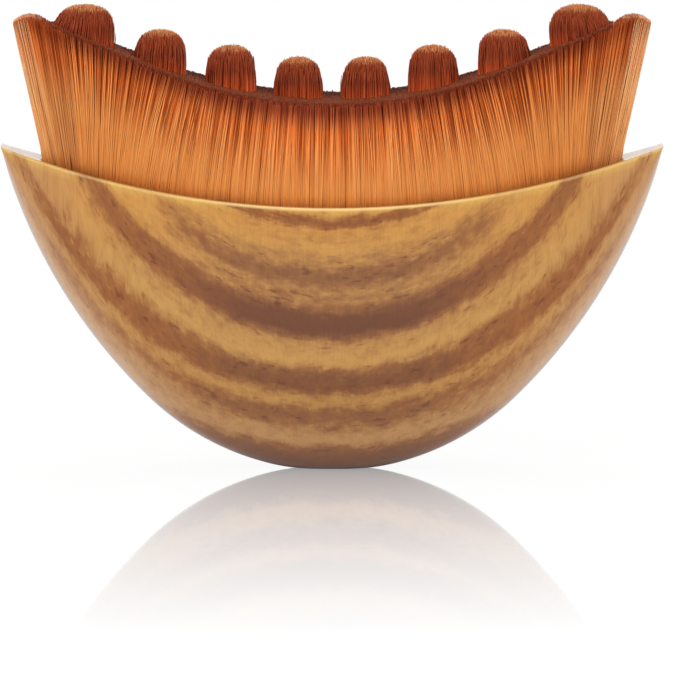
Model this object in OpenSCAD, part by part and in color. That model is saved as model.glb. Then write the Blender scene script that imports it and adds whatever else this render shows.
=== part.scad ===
// Body dry brush: a half-moon wooden handle that holds a fanned head of fine synthetic fibres.
// Sizes are in millimetres and angles in degrees. X runs along the width from tip to tip, -Y is the
// front, and +Z points up through the fibre tips. The origin is the middle of the flat foot.

/* [Handle] */
// Width over the two tips
handle_w = 90; // [86:1:94]
// Depth at the middle, front to back
handle_d = 28; // [26:0.5:31]
// Depth at each tip
tip_d = 5.9; // [5.5:0.1:7]
// Height of the tips above the foot
tip_z = 44.2; // [43:0.1:45]
// How far the middle of the rim lies below the tips
rim_dip = 7.4; // [6.5:0.1:8]
// Radius of the outline at the bottom
bottom_r = 36; // [34:0.5:38]
// Radius of the outline along the flanks
flank_r = 74; // [70:1:78]
// Radius of the outline at the shoulders
shoulder_r = 50; // [45:1:55]
// Slope of the outline where the bottom meets the flank
bottom_slope = 44; // [42:0.5:46]
// Slope of the outline where the flank meets the shoulder
flank_slope = 70; // [68:0.5:72]
// Fullness of the underside: 2 is an ellipse, more is boxier
belly_power = 2.1; // [2:0.05:2.5]
// Depth sanded off the lowest point to make the foot
foot_cut = 0.4; // [0.3:0.05:0.6]

/* [Pocket] */
// Thickness of the wood around the fibres
wall = 2.6; // [2.4:0.1:3]
// Solid wood between the pocket and each tip
end_land = 5.8; // [5.5:0.1:6.5]
// Depth of the pocket below the rim
pocket_depth = 9; // [8.5:0.1:9.5]

/* [Root cup] */
// Wall of the cup
cup_wall = 0.8; // [0.7:0.05:1]
// Floor of the cup
cup_floor = 1; // [0.8:0.05:1.2]
// Height of the cup over its floor and walls
cup_h = 5; // [4.5:0.1:5.5]
// Depth of the resin in the cup
resin_t = 2.5; // [2:0.1:3]

/* [Fibre bed] */
// Height of the middle of the plateau
plateau_z = 50.7; // [50:0.1:52]
// Radius of the hollow in the plateau
plateau_r = 65; // [62:1:68]
// Slope at which the plateau runs straight on to its ends
plateau_slope = 22; // [20:0.5:24]
// Outward lean of the outermost fibres
flare = 12.4; // [11:0.2:13]
// Softening of the cut edges
edge_round = 0.5; // [0.3:0.1:0.7]

/* [Finger tufts] */
// Distance of each tuft from the middle
tuft_x = [4.6, 13.8, 23.5, 34];
// Height of each tuft's tip
tuft_top_z = [56.4, 58, 60.1, 63.5];
// Diameter of each tuft where it leaves the plateau
tuft_base_d = [6.6, 6.9, 7.2, 8.4];
// Diameter below the dome, as a share of the base
tuft_neck = 0.88; // [0.84:0.01:0.94]
// Diameter at the roots, as a share of the base
tuft_root = 0.54; // [0.48:0.01:0.56]
// Height of the domed tip
dome_h = 2.3; // [2:0.1:2.6]
// Fullness of the dome: 2 is an ellipse, more is boxier
dome_power = 2.2; // [2:0.1:2.6]

/* [End tufts] */
// Height of the tip of the end tufts
end_top_z = 62.1; // [61.8:0.1:62.6]
// Place of that tip, from the middle of the brush
end_top_x = 41; // [40.8:0.1:41.2]
// Where the inner side of an end tuft starts at the roots
end_root_x = 36.9; // [36.8:0.05:37]
// Where it comes out at the top
end_inner_x = 38.5; // [38.3:0.1:38.7]
// Drop of the crown at its sides
end_crown = 1.1; // [0.9:0.1:1.3]

/* [Hidden] */
half_w = handle_w / 2;
// stations from the middle to each tip, and facets from the keel to each rim edge
stations = 32;
section_steps = 12;
// the rim is an arc about a line along Y, rim_centre_z above the foot
rim_r = (half_w ^ 2 + rim_dip ^ 2) / (2 * rim_dip);
rim_centre_z = tip_z - rim_dip + rim_r;
// in plan, the front and back faces are arcs that meet the blunt tips
plan_drop = (handle_d - tip_d) / 2;
plan_r = (half_w ^ 2 + plan_drop ^ 2) / (2 * plan_drop);
plan_centre_y = plan_r - handle_d / 2;
// where the three arcs of the outline meet, and where the last one reaches the tip
flank_start = [bottom_r * sin(bottom_slope), bottom_r * (1 - cos(bottom_slope))];
flank_end = flank_start + flank_r * [sin(flank_slope) - sin(bottom_slope), cos(bottom_slope) - cos(flank_slope)];
tip_slope = acos(cos(flank_slope) - (tip_z + foot_cut - flank_end[1]) / shoulder_r);
outline_scale = half_w / (flank_end[0] + shoulder_r * (sin(tip_slope) - sin(flank_slope)));
// pocket, cup and resin lie between arcs that share the rim's centre line
pocket_half = half_w - end_land;
pocket_r = rim_r + pocket_depth;
cup_half = pocket_half - cup_wall;
cup_inset = wall + cup_wall;
cup_edge_r = pocket_r - cup_h;
resin_low_r = pocket_r - cup_floor;
root_r = resin_low_r - resin_t;
// height over which the fibres spread from the cup's edge to the pocket's wall
spill = 0.4;
// the plateau is an arc that runs on as a straight slope
plateau_join = plateau_r * sin(plateau_slope);
bed_stations = 20;
end_stations = 6;
dome_step = 15;
column_h = 80;
arc_fn = 180;
WOOD = [0.72, 0.53, 0.33];
CUP = [0.86, 0.84, 0.78];
RESIN = [0.93, 0.85, 0.62];
FIBRE = [0.75, 0.42, 0.2];
TUFT = [0.55, 0.26, 0.16];

// ---- shared curves ----

// height at x of an arc of radius r about the rim's centre line
function arc_z(r, x) = rim_centre_z - sqrt(r ^ 2 - x ^ 2);

// half depth of the plan at x, set in by a margin
function lens_half(x, inset) = sqrt((plan_r - inset) ^ 2 - x ^ 2) - plan_centre_y;

// point of the front outline at slope a: three tangent arcs, with the foot at height 0
function outline(a) =
    let (p = a < bottom_slope
            ? bottom_r * [sin(a), 1 - cos(a)]
            : a < flank_slope
                ? flank_start + flank_r * [sin(a) - sin(bottom_slope), cos(bottom_slope) - cos(a)]
                : flank_end + shoulder_r * [sin(a) - sin(flank_slope), cos(flank_slope) - cos(a)])
    [p[0] * outline_scale, p[1] - foot_cut];

// height of the plateau: a hollow arc, then a straight slope
function plateau(x) =
    x < plateau_join
        ? plateau_z + plateau_r - sqrt(plateau_r ^ 2 - x ^ 2)
        : plateau_z + plateau_r * (1 - cos(plateau_slope)) + (x - plateau_join) * tan(plateau_slope);

// height of an end tuft: a low crown
function end_crown_z(x) =
    end_top_z - end_crown * ((x - end_top_x) / (end_top_x - end_inner_x)) ^ 2;

// height where a finger tuft's dome begins
function neck_z(i) = tuft_top_z[i] - dome_h;

// half profile of a finger tuft below its dome: narrow at the roots, widest at the plateau
function shank(i) =
    let (low_z = arc_z(pocket_r, 0), base_r = tuft_base_d[i] / 2)
    [[0, low_z], [base_r * tuft_root, low_z], [base_r, plateau(tuft_x[i])], [base_r * tuft_neck, neck_z(i)]];

// ---- shared solids ----

// everything above an arc of radius r about the rim's centre line
module above_arc(r) {
    translate([0, 0, rim_centre_z])
        rotate([90, 0, 0])
            cylinder(r = r, h = 2 * handle_d, center = true, $fn = arc_fn);
}

// upright column with the pocket's plan: two long arcs and flat ends
module lens_column(half_len, inset) {
    linear_extrude(height = column_h)
        intersection() {
            translate([0, -plan_centre_y]) circle(r = plan_r - inset, $fn = arc_fn * 2);
            translate([0, plan_centre_y]) circle(r = plan_r - inset, $fn = arc_fn * 2);
            square([2 * half_len, handle_d], center = true);
        }
}

// solid between stacked rings of equal length, each ring running along the front and back along the rear
module ring_stack(rings) {
    n = len(rings[0]);
    half = n / 2;
    top = (len(rings) - 1) * n;
    sides = [
        for (k = [0 : len(rings) - 2], i = [0 : n - 1])
            let (a = k * n + i, b = k * n + (i + 1) % n)
            each [[a, a + n, b + n], [a, b + n, b]]
    ];
    caps = [for (i = [0 : half - 2]) each [
        [i, i + 1, n - 2 - i, n - 1 - i],
        [top + i + 1, top + i, top + n - 1 - i, top + n - 2 - i],
    ]];
    polyhedron(points = [for (ring = rings) each ring], faces = concat(sides, caps), convexity = 4);
}

// one ring from a list of [x, half depth, z]
function ring(edge) = concat(
    [for (p = edge) [p[0], -p[1], p[2]]],
    [for (i = [len(edge) - 1 : -1 : 0]) [edge[i][0], edge[i][1], edge[i][2]]]
);

// half length of the fibre head at height z: upright in the pocket, leaning out above it
function head_half(z) = pocket_half + max(0, z - arc_z(rim_r, pocket_half)) * tan(flare);

// half depth of the fibre head at x and height z
function head_y(x, z) = lens_half(x * pocket_half / head_half(z), wall);

// plane that parts the bed from an end tuft
function parting_x(z) =
    end_root_x + (z - arc_z(root_r, end_root_x)) * (end_inner_x - end_root_x)
        / (plateau(end_inner_x) - arc_z(root_r, end_root_x));

// ---- sub-parts ----

module handle() {
    n = 2 * section_steps + 1;
    last = 2 * stations;
    // one U section per station; at the tips it closes to a line across the rim
    points = [
        for (i = [-stations : stations])
            let (
                p = outline(abs(i) * tip_slope / stations),
                x = sign(i) * p[0],
                rim = arc_z(rim_r, x),
                depth = abs(i) == stations ? 0 : rim - p[1]
            )
            for (k = [-section_steps : section_steps])
                let (t = 90 * k / section_steps)
                [x, sign(k) * lens_half(abs(x), 0) * abs(sin(t)) ^ (2 / belly_power),
                    rim - depth * cos(t) ^ (2 / belly_power)]
    ];
    shell = [
        for (i = [0 : last - 1], k = [0 : n - 2])
            let (a = i * n + k, b = a + n)
            each [[a, a + 1, b + 1], [a, b + 1, b]]
    ];
    rim_strips = [
        for (i = [1 : last - 2])
            [i * n, (i + 1) * n, (i + 1) * n + n - 1, i * n + n - 1]
    ];
    tip_strips = [
        [n, 2 * n - 1, for (k = [n - 1 : -1 : 0]) k],
        [last * n - 1, (last - 1) * n, for (k = [0 : n - 1]) last * n + k],
    ];
    color(WOOD)
        difference() {
            polyhedron(points = points, faces = concat(shell, rim_strips, tip_strips), convexity = 4);
            // the sanded foot
            translate([-half_w, -handle_d, -handle_d]) cube([handle_w, 2 * handle_d, handle_d]);
            // the pocket
            intersection() {
                lens_column(pocket_half, wall);
                above_arc(pocket_r);
            }
        }
}

module root_cup() {
    color(CUP)
        difference() {
            intersection() {
                lens_column(pocket_half, wall);
                above_arc(pocket_r);
            }
            above_arc(cup_edge_r);
            intersection() {
                lens_column(cup_half, cup_inset);
                above_arc(resin_low_r);
            }
        }
}

module resin_bed() {
    color(RESIN)
        difference() {
            intersection() {
                lens_column(cup_half, cup_inset);
                above_arc(resin_low_r);
            }
            above_arc(root_r);
        }
}

// the bed's rings from the roots up: in the cup, over the cup's edge, out of the rim, up to the plateau
module fibre_bed() {
    shares = [for (i = [-bed_stations : bed_stations]) i / bed_stations];
    levels = [root_r, cup_edge_r, cup_edge_r - spill, rim_r];
    lower = [
        for (k = [0 : 3])
            let (reach = parting_x(arc_z(levels[k], end_root_x)))
            ring([for (s = shares)
                let (x = abs(s) * reach)
                [s * reach, lens_half(x, k < 2 ? cup_inset : wall), arc_z(levels[k], x)]])
    ];
    upper = [
        for (round = [edge_round, 0])
            ring([for (s = shares)
                let (x = abs(s) * end_inner_x, z = plateau(x))
                [s * end_inner_x, head_y(x, z) - edge_round + round, z - round]])
    ];
    color(FIBRE)
        difference() {
            ring_stack(concat(lower, upper));
            for (i = [0 : 3], side = [-1, 1])
                translate([side * tuft_x[i], 0, 0])
                    rotate_extrude($fn = 48) polygon(concat(shank(i), [[0, neck_z(i)]]));
        }
}

// a bundle of longer fibres that stands in its channel of the bed and ends in a dome
module finger_tuft(side, i) {
    neck_r = tuft_base_d[i] / 2 * tuft_neck;
    dome = [for (a = [dome_step : dome_step : 90])
        [neck_r * cos(a) ^ (2 / dome_power), neck_z(i) + dome_h * sin(a) ^ (2 / dome_power)]];
    color(TUFT)
        intersection() {
            translate([side * tuft_x[i], 0, 0])
                rotate_extrude($fn = 48) polygon(concat(shank(i), dome));
            above_arc(root_r);
        }
}

module end_tuft(side) {
    shares = [for (i = [0 : end_stations]) i / end_stations];
    levels = [root_r, cup_edge_r, cup_edge_r - spill, rim_r];
    lower = [
        for (k = [0 : 3])
            let (half_len = k < 2 ? cup_half : pocket_half, inset = k < 2 ? cup_inset : wall,
                inner = parting_x(arc_z(levels[k], end_root_x)))
            ring([for (s = shares)
                let (x = inner + s * (half_len - inner))
                [x, lens_half(x, inset), arc_z(levels[k], x)]])
    ];
    outer = head_half(end_top_z - end_crown);
    upper = [
        for (round = [2 * edge_round, 0])
            ring([for (s = shares)
                let (
                    x = end_inner_x + s * (outer - end_inner_x),
                    z = end_crown_z(x),
                    y = head_y(min(x, head_half(z)), z)
                )
                [x - s * (1 - round / (2 * edge_round)) * edge_round, y - 2 * edge_round + round, z - round]])
    ];
    color(TUFT)
        mirror([side < 0 ? 1 : 0, 0, 0])
            ring_stack(concat(lower, upper));
}

handle();
root_cup();
resin_bed();
fibre_bed();
finger_tuft(-1, 3);  // finger_tuft_1
finger_tuft(-1, 2);  // finger_tuft_2
finger_tuft(-1, 1);  // finger_tuft_3
finger_tuft(-1, 0);  // finger_tuft_4
finger_tuft(1, 0);  // finger_tuft_5
finger_tuft(1, 1);  // finger_tuft_6
finger_tuft(1, 2);  // finger_tuft_7
finger_tuft(1, 3);  // finger_tuft_8
end_tuft(-1);  // end_tuft_left
end_tuft(1);  // end_tuft_right
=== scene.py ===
# %% [markdown]
# # A palm-held dry brush
# What shows of the brush is three things. A half-moon handle is carved from one block of banded wood and
# lacquered. A fan of fine orange-brown filaments is set into a pocket in its top. Eight longer,
# round-tipped bundles stand in a row in the middle of that fan. This lesson dresses the plain CAD solids
# of those parts. It loads them as a fixed frame, works every visible surface out with numpy, and gives
# each finish its own nodes.

import math

import bmesh
import bpy
import numpy as np
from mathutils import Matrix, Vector


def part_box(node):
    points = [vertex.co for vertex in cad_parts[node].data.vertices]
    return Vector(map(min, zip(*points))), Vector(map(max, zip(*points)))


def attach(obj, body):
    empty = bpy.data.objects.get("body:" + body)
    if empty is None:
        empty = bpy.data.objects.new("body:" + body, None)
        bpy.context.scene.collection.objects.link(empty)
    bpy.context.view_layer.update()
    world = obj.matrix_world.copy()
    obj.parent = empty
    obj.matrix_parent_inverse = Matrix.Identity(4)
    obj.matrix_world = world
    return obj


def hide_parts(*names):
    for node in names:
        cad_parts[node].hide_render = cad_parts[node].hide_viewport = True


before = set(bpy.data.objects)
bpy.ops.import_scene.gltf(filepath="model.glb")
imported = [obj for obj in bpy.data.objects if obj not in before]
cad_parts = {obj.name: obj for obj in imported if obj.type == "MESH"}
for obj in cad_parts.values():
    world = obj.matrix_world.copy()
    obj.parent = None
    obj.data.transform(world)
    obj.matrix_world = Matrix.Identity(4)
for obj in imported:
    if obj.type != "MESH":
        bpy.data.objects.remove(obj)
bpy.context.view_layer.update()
print("nodes:", ", ".join(sorted(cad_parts)))

# %% [markdown]
# ## Sizes
# All lengths below are millimetres, with X along the width, -Y towards the front and +Z up through the
# fibre tips. Overall sizes are read from the frame, so that the looks always fit the solids. The few
# proportions that a box can't tell are repeated from the part's source.

# %% Sizes of the handle and of the fibre head
MM = 0.001


def box_mm(node):
    """Lowest and highest corner of a CAD node, in millimetres."""
    low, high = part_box(node)
    return np.array(low) / MM, np.array(high) / MM


# the handle's half width and half depth, and the height of its two tips
HALF_W, HALF_D, TIP_Z = box_mm("handle")[1]
TIP_HALF_D = 2.95
RIM_DIP = 7.4
FOOT_CUT = 0.4
BELLY_POWER = 2.1
BOTTOM_R, FLANK_R, SHOULDER_R = 36.0, 74.0, 50.0
BOTTOM_SLOPE, FLANK_SLOPE = math.radians(44), math.radians(70)
WALL, END_LAND, POCKET_DEPTH = 2.6, 5.8, 9.0
CUP_WALL, CUP_FLOOR, CUP_H, RESIN_T = 0.8, 1.0, 5.0, 2.5
PLATEAU_Z, PLATEAU_R, PLATEAU_SLOPE = 50.7, 65.0, math.radians(22)
FLARE = math.radians(12.4)
# rounding of the plateau's long edges
EDGE_ROUND = 0.5
# where the plane between the bed and an end tuft meets the plateau and the roots, and the top of that tuft
END_INNER_X, END_ROOT_X = 38.5, 36.9
END_TOP_X, END_TOP_Z, END_CROWN = 41.0, box_mm("end_tuft_right")[1][2], 1.1

RIM_R = (HALF_W**2 + RIM_DIP**2) / (2 * RIM_DIP)
RIM_CENTRE_Z = TIP_Z - RIM_DIP + RIM_R
PLAN_DROP = HALF_D - TIP_HALF_D
PLAN_R = (HALF_W**2 + PLAN_DROP**2) / (2 * PLAN_DROP)
PLAN_CENTRE_Y = PLAN_R - HALF_D
POCKET_HALF = HALF_W - END_LAND
POCKET_R = RIM_R + POCKET_DEPTH
ROOT_R = POCKET_R - CUP_FLOOR - RESIN_T
print(f"handle {2 * HALF_W:.1f} x {2 * HALF_D:.1f} x {TIP_Z:.1f} mm, rim radius {RIM_R:.1f} mm")

# %% [markdown]
# ## Curves that several pieces share
# The rim, the pocket's floor and the root line are arcs about one line. Front and back of the brush are
# arcs in plan. The fibre head stands upright in depth and leans out at its two ends only. Each curve is
# one small function that takes whole arrays, so that every surface can be worked out at once.

# %% Shared curves


def arc_z(radius, x):
    """Height at x of an arc about the rim's centre line: centre height less the root of r2 - x2."""
    return RIM_CENTRE_Z - np.sqrt(radius**2 - x**2)


def lens_half(x, inset=0.0):
    """Half depth of the plan at x: an arc about a far centre, set in by a margin."""
    return np.sqrt((PLAN_R - inset) ** 2 - x**2) - PLAN_CENTRE_Y


def plateau(x):
    """Height of the flat-cut fibre tips: a hollow arc that runs on as a straight slope."""
    x = np.abs(x)
    join = PLATEAU_R * math.sin(PLATEAU_SLOPE)
    arc = PLATEAU_Z + PLATEAU_R - np.sqrt(PLATEAU_R**2 - np.minimum(x, join) ** 2)
    return arc + np.maximum(x - join, 0) * math.tan(PLATEAU_SLOPE)


def head_half(z):
    """Half length of the fibre head at height z: upright in the pocket, leaning out above it."""
    rise = np.maximum(0, z - arc_z(RIM_R, POCKET_HALF))
    return POCKET_HALF + rise * math.tan(FLARE)


def head_y(x, z):
    """Half depth of the fibre head at x and height z: the pocket's plan, stretched with the head."""
    return lens_half(x * POCKET_HALF / head_half(z), WALL)


def parting_x(z):
    """Plane between the bed and an end tuft, by height: a straight line in the front view."""
    low, high = arc_z(ROOT_R, END_ROOT_X), plateau(END_INNER_X)
    return END_ROOT_X + (z - low) * (END_INNER_X - END_ROOT_X) / (high - low)


def smooth_step(low, high, value):
    """0 below low, 1 above high, and 3t2 - 2t3 between them."""
    t = np.clip((value - low) / (high - low), 0, 1)
    return t * t * (3 - 2 * t)


print(f"plateau {plateau(0.0):.1f} mm high in the middle and {plateau(30.0):.1f} mm at x = 30")

# %% [markdown]
# ## Putting a surface into Blender
# A mesh is only points and faces, and both can be numpy arrays. foreach_set copies a whole array in one
# call, which is hundreds of times faster than adding points one by one. Triangles are kept flat and
# four-sided faces smooth, because here triangles are always the cut ends of filaments.

# %% Mesh helpers


def put_mesh(name, points, quads, tris=None, uv=None):
    """Object of points in mm (n x 3), quads (m x 4), flat triangles (k x 3) and a uv pair per corner."""
    tris = np.zeros((0, 3), int) if tris is None else tris
    corners = np.concatenate([quads.ravel(), tris.ravel()]).astype(np.int32)
    quad_starts = 4 * np.arange(len(quads))
    tri_starts = quads.size + 3 * np.arange(len(tris))
    mesh = bpy.data.meshes.new(name)
    mesh.vertices.add(len(points))
    mesh.vertices.foreach_set("co", (points * MM).astype(np.float32).ravel())
    mesh.loops.add(len(corners))
    mesh.loops.foreach_set("vertex_index", corners)
    mesh.polygons.add(len(quads) + len(tris))
    mesh.polygons.foreach_set("loop_start", np.concatenate([quad_starts, tri_starts]).astype(np.int32))
    smooth = np.concatenate([np.ones(len(quads), bool), np.zeros(len(tris), bool)])
    mesh.polygons.foreach_set("use_smooth", smooth)
    mesh.update(calc_edges=True)
    if uv is not None:
        layer = mesh.uv_layers.new(name="OFBake")
        layer.data.foreach_set("uv", uv.astype(np.float32).ravel())
    obj = bpy.data.objects.new(name, mesh)
    bpy.context.scene.collection.objects.link(obj)
    return obj


def grid_quads(rows, columns, around=False):
    """Quads of a grid of points numbered row by row; around joins the last column to the first."""
    last = columns if around else columns - 1
    r, c = np.meshgrid(np.arange(rows - 1), np.arange(last), indexing="ij")
    a, b = r * columns + c, r * columns + (c + 1) % columns
    return np.stack([a, b, b + columns, a + columns], axis=-1).reshape(-1, 4)


WELD_GAP = 0.002 * MM


def weld(obj):
    """Merges points that lie on each other and turns every face outwards."""
    shape = bmesh.new()
    shape.from_mesh(obj.data)
    bmesh.ops.remove_doubles(shape, verts=shape.verts, dist=WELD_GAP)
    bmesh.ops.recalc_face_normals(shape, faces=shape.faces)
    open_edges = sum(1 for edge in shape.edges if not edge.is_manifold)
    shape.to_mesh(obj.data)
    shape.free()
    print(f"{obj.name}: {len(obj.data.polygons)} faces, {open_edges} open edges")
    return obj


print("a grid of 3 x 4 points has", len(grid_quads(3, 4)), "faces")

# %% [markdown]
# ## The camera
# The brush stands on its rounded underside, seen from a metre away and a little above. The angle is one
# that suits the depth of the solids: one front view can't tell a deeper brush from a higher eye. A long
# lens keeps the half-moon undistorted, as if the eye were far off. Tones aren't changed after rendering,
# so a colour looks about as it is written.

# %% Camera
PICTURE_W, PICTURE_H = 679, 695
CAMERA_DISTANCE = 1000.0
CAMERA_Z = 127.0
# width of the strip at the brush that fills the picture
VIEW_W = 92.65
AIM = np.array([1.02, 0.0, 16.5])
NEAREST, FARTHEST = 50.0, 20000.0

lens_camera = bpy.data.cameras.new("camera")
lens_camera.sensor_width = 36.0
view_h = VIEW_W * PICTURE_H / PICTURE_W
lens_camera.lens = lens_camera.sensor_width * CAMERA_DISTANCE / view_h
lens_camera.clip_start, lens_camera.clip_end = NEAREST * MM, FARTHEST * MM
camera = bpy.data.objects.new("camera", lens_camera)
bpy.context.scene.collection.objects.link(camera)
camera_place = np.array([0.0, -math.sqrt(CAMERA_DISTANCE**2 - (CAMERA_Z - AIM[2]) ** 2), CAMERA_Z])
camera.location = camera_place * MM
camera.rotation_mode = "QUATERNION"
camera.rotation_quaternion = Vector((AIM - camera_place) * MM).to_track_quat("-Z", "Y")
bpy.context.scene.camera = camera
bpy.context.scene.view_settings.view_transform = "Standard"
print(f"camera {CAMERA_DISTANCE:.0f} mm away with a {lens_camera.lens:.0f} mm lens")

# %% [markdown]
# ## Nodes written as functions
# A finish is a chain of small nodes. Made by hand, each would take four lines, so the ones that come back
# again and again get a short function that returns the socket to link on.

# %% Material helpers
WHITE = (1.0, 1.0, 1.0, 1.0)


def rgb(red, green, blue):
    """Linear colour of a screen colour given as 0 to 255, by the usual screen curve."""
    screen = np.array([red, green, blue]) / 255
    linear = np.where(screen <= 0.04045, screen / 12.92, ((screen + 0.055) / 1.055) ** 2.4)
    return (*(float(c) for c in linear), 1.0)


def new_material(name):
    """Empty node material: the material, its tree and its shader."""
    material = bpy.data.materials.new(name)
    material.use_nodes = True
    tree = material.node_tree
    shader = tree.nodes["Principled BSDF"]
    return material, tree, shader


def node(tree, kind, inputs=None, **settings):
    """One node; settings are its properties, inputs its values or sockets by input name or number."""
    made = tree.nodes.new(kind)
    for key, value in settings.items():
        setattr(made, key, value)
    for key, value in (inputs or {}).items():
        if isinstance(value, bpy.types.NodeSocket):
            tree.links.new(value, made.inputs[key])
        else:
            made.inputs[key].default_value = value
    return made


def math_node(tree, operation, a, b=0.0, c=0.0, clamp=False):
    """Output socket of a Math node."""
    made = node(tree, "ShaderNodeMath", {0: a, 1: b, 2: c}, operation=operation, use_clamp=clamp)
    return made.outputs[0]


def product(tree, first, *others):
    """Output socket of all the values multiplied."""
    for value in others:
        first = math_node(tree, "MULTIPLY", first, value)
    return first


def one_less(tree, value):
    """Output socket of 1 less the value."""
    return math_node(tree, "SUBTRACT", 1.0, value)


def mix_colour(tree, factor, a, b, blend="MIX"):
    """Output socket of a colour Mix node."""
    made = node(tree, "ShaderNodeMix", data_type="RGBA", blend_type=blend)
    for socket, value in ((made.inputs[0], factor), (made.inputs[6], a), (made.inputs[7], b)):
        if isinstance(value, bpy.types.NodeSocket):
            tree.links.new(value, socket)
        else:
            socket.default_value = value
    return made.outputs[2]


def map_range(tree, value, low, high, to_low=0.0, to_high=1.0, kind="SMOOTHSTEP"):
    """Output socket of a clamped Map Range node."""
    made = node(
        tree,
        "ShaderNodeMapRange",
        {"Value": value, "From Min": low, "From Max": high, "To Min": to_low, "To Max": to_high},
        interpolation_type=kind,
    )
    return made.outputs[0]


def grey_of(tree, value):
    """Output socket of a colour whose three channels are the value."""
    return node(tree, "ShaderNodeCombineColor", {0: value, 1: value, 2: value}).outputs[0]


print("half-bright on a screen is", round(rgb(128, 128, 128)[0], 3), "as linear light")

# %% [markdown]
# ## The floor
# The white board has to be pure white far away, keep the brush's soft shadow, and show a mirror image that
# is strongest where the brush touches it. So it mixes a matt shader, its own glow and a gloss, by distance.

# %% Floor
FLOOR_HALF = 3000.0
FLOOR_Z = -0.02
# the mirror image: its share where the brush stands, and the distances between which it fades out
MIRROR_SHARE, MIRROR_NEAR, MIRROR_FAR = 0.6, 8.0, 158.0
MIRROR_ROUGHNESS = 0.02
# share of its own glow near the brush, and the distances between which the glow takes over
OPEN_GLOW, PURE_NEAR, PURE_FAR = 0.85, 130.0, 700.0

floor = put_mesh(
    "floor",
    np.array([[x, y, FLOOR_Z] for y in (-FLOOR_HALF, FLOOR_HALF) for x in (-FLOOR_HALF, FLOOR_HALF)]),
    np.array([[0, 1, 3, 2]]),
)
material, tree, shader = new_material("white_board")
where = node(tree, "ShaderNodeTexCoord").outputs["Object"]
away = node(tree, "ShaderNodeVectorMath", {0: where}, operation="LENGTH").outputs[1]
away = math_node(tree, "MULTIPLY", away, 1 / MM)
seen_straight = node(tree, "ShaderNodeLightPath").outputs["Is Camera Ray"]
mirror = map_range(tree, away, MIRROR_NEAR, MIRROR_FAR, MIRROR_SHARE, 0.0, "LINEAR")
mirror = math_node(tree, "MULTIPLY", mirror, seen_straight)
shader.inputs["Base Color"].default_value = WHITE
shader.inputs["Roughness"].default_value = 1.0
shader.inputs["Specular IOR Level"].default_value = 0.0
gloss = node(tree, "ShaderNodeBsdfGlossy", {"Color": WHITE, "Roughness": MIRROR_ROUGHNESS})
glow = node(tree, "ShaderNodeEmission", {"Color": WHITE, "Strength": 1.0})
lit = math_node(tree, "MULTIPLY", seen_straight, OPEN_GLOW)
matt = node(tree, "ShaderNodeMixShader", {0: lit, 1: shader.outputs[0], 2: glow.outputs[0]})
mixed = node(tree, "ShaderNodeMixShader", {0: mirror, 1: matt.outputs[0], 2: gloss.outputs[0]})
pure = math_node(tree, "MULTIPLY", map_range(tree, away, PURE_NEAR, PURE_FAR), seen_straight)
board = node(tree, "ShaderNodeMixShader", {0: pure, 1: mixed.outputs[0], 2: glow.outputs[0]})
tree.links.new(board.outputs[0], tree.nodes["Material Output"].inputs["Surface"])
floor.data.materials.append(material)
print(f"white board, mirror image gone {MIRROR_FAR:.0f} mm from the foot")

# %% [markdown]
# ## Light
# An even white room lights the brush from all sides, as a light tent does. It is dimmer for the light that
# it casts than for the eye, so that it looks white without washing the colours out. Two soft lamps in front
# and one above give the handle its gentle modelling.

# %% Room light and lamps
ROOM_LIGHT = 0.62
LAMP_TARGET = (0, 0, 35)

world = bpy.data.worlds.new("white_room")
world.use_nodes = True
bpy.context.scene.world = world
tree = world.node_tree
rays = node(tree, "ShaderNodeLightPath").outputs
seen = math_node(tree, "MAXIMUM", rays["Is Camera Ray"], rays["Is Glossy Ray"])
seen = math_node(tree, "MAXIMUM", seen, rays["Is Transmission Ray"])
strength = map_range(tree, seen, 0.0, 1.0, ROOM_LIGHT, 1.0, "LINEAR")
background = tree.nodes["Background"]
background.inputs["Color"].default_value = WHITE
tree.links.new(strength, background.inputs["Strength"])


def soft_lamp(name, place, side, power):
    """A square lamp of that side at place, in mm, that faces the brush."""
    data = bpy.data.lights.new(name, "AREA")
    data.shape = "SQUARE"
    data.size = side * MM
    data.energy = power
    lamp = bpy.data.objects.new(name, data)
    lamp.location = np.array(place) * MM
    lamp.rotation_mode = "QUATERNION"
    direction = (np.array(LAMP_TARGET) - np.array(place)) * MM
    lamp.rotation_quaternion = Vector(direction).to_track_quat("-Z", "Y")
    bpy.context.scene.collection.objects.link(lamp)
    return lamp


soft_lamp("lamp_front_left", (-900, -1300, 900), 900, 9.0)
soft_lamp("lamp_front_right", (1000, -1200, 700), 900, 6.0)
soft_lamp("lamp_above", (0, 300, 1500), 1200, 9.0)
print("one room, three lamps")

# %% [markdown]
# ## The handle
# The handle is taken to be sawn and sanded from one block: a half-moon seen from the front, a lens seen
# from above and a rounded U in section. Only the front outline is certain. It could be carved by Boolean
# cuts, but its curves all follow formulas, so it is worked out as sections along the width. Its rim is
# eased by a small radius, which is what catches the light as a bright line. A second set of closed loops
# runs over the rim and down into the pocket.

# %% Handle surface
STATIONS = 97
SECTION_STEPS = 40
RIM_EASE = 0.38
FOOT_SOFT = 0.13
# the pocket's edge is eased by this much, over this depth
POCKET_EASE, POCKET_EASE_DEPTH = 0.12, 0.6
SHARP_ANGLE = math.radians(48)


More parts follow.
